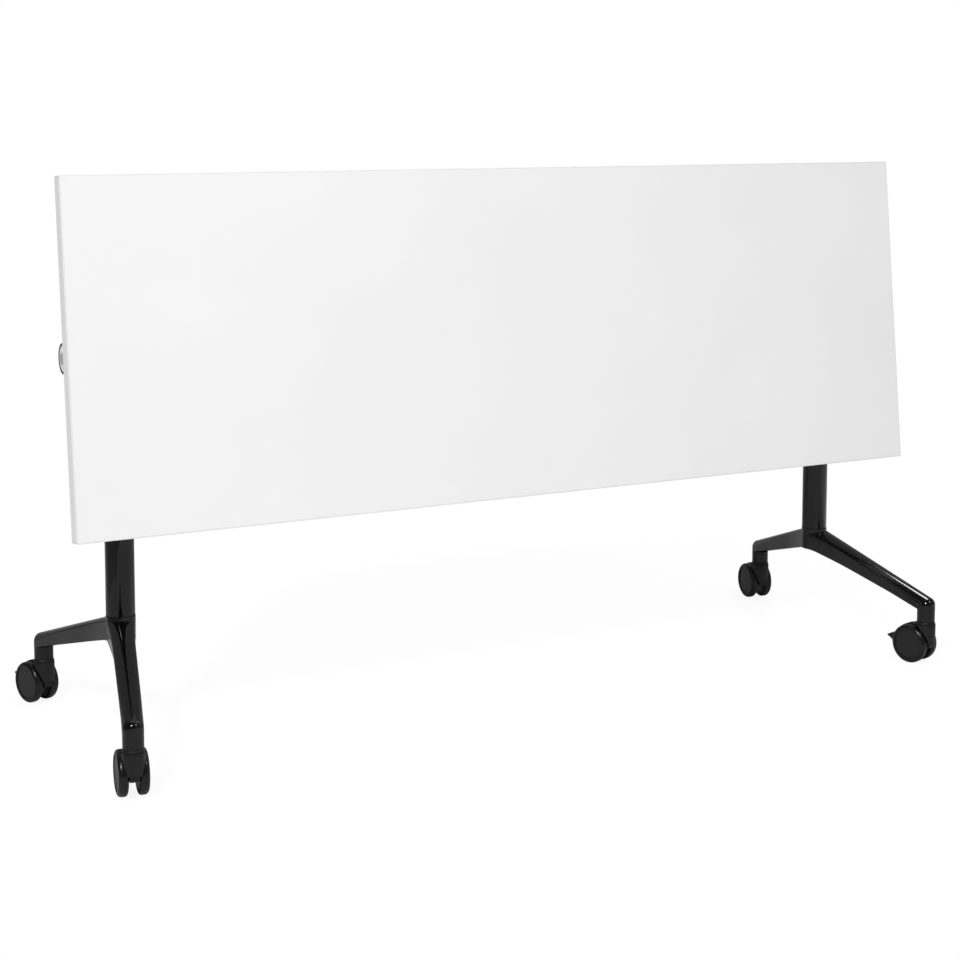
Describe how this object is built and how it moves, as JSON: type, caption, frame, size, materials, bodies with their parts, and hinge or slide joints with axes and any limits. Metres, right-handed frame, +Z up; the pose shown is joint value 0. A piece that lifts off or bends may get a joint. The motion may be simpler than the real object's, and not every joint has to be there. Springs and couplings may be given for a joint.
{
  "type": "flip-top folding table",
  "caption": "Folding desk on castors with its white top tipped up, on black pedestals with V-shaped feet and twin-wheel braked castors",
  "frame": {"origin": "On the floor, under the middle of the whole desk's bounding box", "axes": "+X along the desk's length, +Y away from the face of the tipped top, +Z up"},
  "size_m": [1.7, 0.653, 0.9832],
  "materials": {
    "white_board": "satin",
    "white_edge": "satin",
    "black_casting": "gloss",
    "black_tube": "gloss",
    "plain_steel": "satin",
    "black_screw": "satin",
    "silver_ring": "satin",
    "grey_button": "satin",
    "bearing_plastic": "matte",
    "black_nylon": "matte",
    "wheel_tread": "gloss",
    "wheel_disc": "satin"
  },
  "bodies": {
    "frame": {"foot_left": "black_casting", "foot_right": "black_casting", "column_left": "black_tube", "column_right": "black_tube", "leg_head_left": "black_casting", "leg_head_right": "black_casting", "pivot_shaft_left": "plain_steel", "pivot_shaft_right": "plain_steel", "release_spring_left": "plain_steel", "release_spring_right": "plain_steel", "cross_beam": "black_tube", "retaining_rings": "plain_steel", "column_anchors": "plain_steel", "column_bolts": "black_screw", "head_screws": "black_screw", "beam_screws": "black_screw", "castor_stems": "plain_steel"},
    "tabletop": {"tabletop_board": "white_board", "edge_band_front": "white_edge", "edge_band_back": "white_edge", "edge_band_left": "white_edge", "edge_band_right": "white_edge", "bracket_screws": "black_screw", "top_bracket_left": "black_casting", "top_bracket_right": "black_casting", "pivot_bush_left": "bearing_plastic", "pivot_bush_right": "bearing_plastic", "hub_cap_left": "silver_ring", "hub_cap_right": "silver_ring"},
    "release_button_left": {"release_button_left": "grey_button"},
    "release_button_right": {"release_button_right": "grey_button"},
    "castor_left_front": {"castor_body_left_front": "black_nylon", "castor_axle_left_front": "plain_steel"},
    "wheel_left_of_left_front": {"wheel_left_of_left_front": "wheel_tread", "cover_left_of_left_front": "wheel_disc"},
    "wheel_right_of_left_front": {"wheel_right_of_left_front": "wheel_tread", "cover_right_of_left_front": "wheel_disc"},
    "brake_pedal_left_front": {"brake_pedal_left_front": "black_nylon"},
    "castor_left_rear": {"castor_body_left_rear": "black_nylon", "castor_axle_left_rear": "plain_steel"},
    "wheel_left_of_left_rear": {"wheel_left_of_left_rear": "wheel_tread", "cover_left_of_left_rear": "wheel_disc"},
    "wheel_right_of_left_rear": {"wheel_right_of_left_rear": "wheel_tread", "cover_right_of_left_rear": "wheel_disc"},
    "brake_pedal_left_rear": {"brake_pedal_left_rear": "black_nylon"},
    "castor_right_front": {"castor_body_right_front": "black_nylon", "castor_axle_right_front": "plain_steel"},
    "wheel_left_of_right_front": {"wheel_left_of_right_front": "wheel_tread", "cover_left_of_right_front": "wheel_disc"},
    "wheel_right_of_right_front": {"wheel_right_of_right_front": "wheel_tread", "cover_right_of_right_front": "wheel_disc"},
    "brake_pedal_right_front": {"brake_pedal_right_front": "black_nylon"},
    "castor_right_rear": {"castor_body_right_rear": "black_nylon", "castor_axle_right_rear": "plain_steel"},
    "wheel_left_of_right_rear": {"wheel_left_of_right_rear": "wheel_tread", "cover_left_of_right_rear": "wheel_disc"},
    "wheel_right_of_right_rear": {"wheel_right_of_right_rear": "wheel_tread", "cover_right_of_right_rear": "wheel_disc"},
    "brake_pedal_right_rear": {"brake_pedal_right_rear": "black_nylon"}
  },
  "joints": [
    {"name": "top_flip", "type": "hinge", "parent": "frame", "child": "tabletop", "pos_m": [0, -0.05302, 0.676], "axis": [1, 0, 0], "range_deg": [-83.8, 0]},
    {"name": "release_left", "type": "slide", "parent": "frame", "child": "release_button_left", "axis": [1, 0, 0], "range_m": [0, 0.006], "stiffness_N_per_m": 400, "springref_m": -0.005, "deforming": ["release_spring_left"]},
    {"name": "release_right", "type": "slide", "parent": "frame", "child": "release_button_right", "axis": [-1, 0, 0], "range_m": [0, 0.006], "stiffness_N_per_m": 400, "springref_m": -0.005, "deforming": ["release_spring_right"]},
    {"name": "swivel_left_front", "type": "hinge", "parent": "frame", "child": "castor_left_front", "pos_m": [-0.8035, -0.30752, 0.085], "axis": [0, 0, 1], "continuous": true},
    {"name": "roll_left_of_left_front", "type": "hinge", "parent": "castor_left_front", "child": "wheel_left_of_left_front", "pos_m": [-0.79968, -0.28281, 0.0375], "axis": [0.9882, -0.153, 0], "continuous": true},
    {"name": "roll_right_of_left_front", "type": "hinge", "parent": "castor_left_front", "child": "wheel_right_of_left_front", "pos_m": [-0.79968, -0.28281, 0.0375], "axis": [0.9882, -0.153, 0], "continuous": true},
    {"name": "brake_left_front", "type": "hinge", "parent": "castor_left_front", "child": "brake_pedal_left_front", "pos_m": [-0.7957, -0.25712, 0.042], "axis": [-0.9882, 0.153, 0], "range_deg": [0, 12]},
    {"name": "swivel_left_rear", "type": "hinge", "parent": "frame", "child": "castor_left_rear", "pos_m": [-0.8035, 0.24448, 0.085], "axis": [0, 0, 1], "continuous": true},
    {"name": "roll_left_of_left_rear", "type": "hinge", "parent": "castor_left_rear", "child": "wheel_left_of_left_rear", "pos_m": [-0.81139, 0.2682, 0.0375], "axis": [0.9489, 0.3156, 0], "continuous": true},
    {"name": "roll_right_of_left_rear", "type": "hinge", "parent": "castor_left_rear", "child": "wheel_right_of_left_rear", "pos_m": [-0.81139, 0.2682, 0.0375], "axis": [0.9489, 0.3156, 0], "continuous": true},
    {"name": "brake_left_rear", "type": "hinge", "parent": "castor_left_rear", "child": "brake_pedal_left_rear", "pos_m": [-0.8196, 0.29287, 0.042], "axis": [-0.9489, -0.3156, 0], "range_deg": [0, 12]},
    {"name": "swivel_right_front", "type": "hinge", "parent": "frame", "child": "castor_right_front", "pos_m": [0.8035, -0.30752, 0.085], "axis": [0, 0, 1], "continuous": true},
    {"name": "roll_left_of_right_front", "type": "hinge", "parent": "castor_right_front", "child": "wheel_left_of_right_front", "pos_m": [0.79657, -0.2835, 0.0375], "axis": [0.9608, 0.2773, 0], "continuous": true},
    {"name": "roll_right_of_right_front", "type": "hinge", "parent": "castor_right_front", "child": "wheel_right_of_right_front", "pos_m": [0.79657, -0.2835, 0.0375], "axis": [0.9608, 0.2773, 0], "continuous": true},
    {"name": "brake_right_front", "type": "hinge", "parent": "castor_right_front", "child": "brake_pedal_right_front", "pos_m": [0.78936, -0.25852, 0.042], "axis": [-0.9608, -0.2773, 0], "range_deg": [0, 12]},
    {"name": "swivel_right_rear", "type": "hinge", "parent": "frame", "child": "castor_right_rear", "pos_m": [0.8035, 0.24448, 0.085], "axis": [0, 0, 1], "continuous": true},
    {"name": "roll_left_of_right_rear", "type": "hinge", "parent": "castor_right_rear", "child": "wheel_left_of_right_rear", "pos_m": [0.80737, 0.26918, 0.0375], "axis": [0.988, -0.1547, 0], "continuous": true},
    {"name": "roll_right_of_right_rear", "type": "hinge", "parent": "castor_right_rear", "child": "wheel_right_of_right_rear", "pos_m": [0.80737, 0.26918, 0.0375], "axis": [0.988, -0.1547, 0], "continuous": true},
    {"name": "brake_right_rear", "type": "hinge", "parent": "castor_right_rear", "child": "brake_pedal_right_rear", "pos_m": [0.81139, 0.29487, 0.042], "axis": [-0.988, 0.1547, 0], "range_deg": [0, 12]}
  ]
}
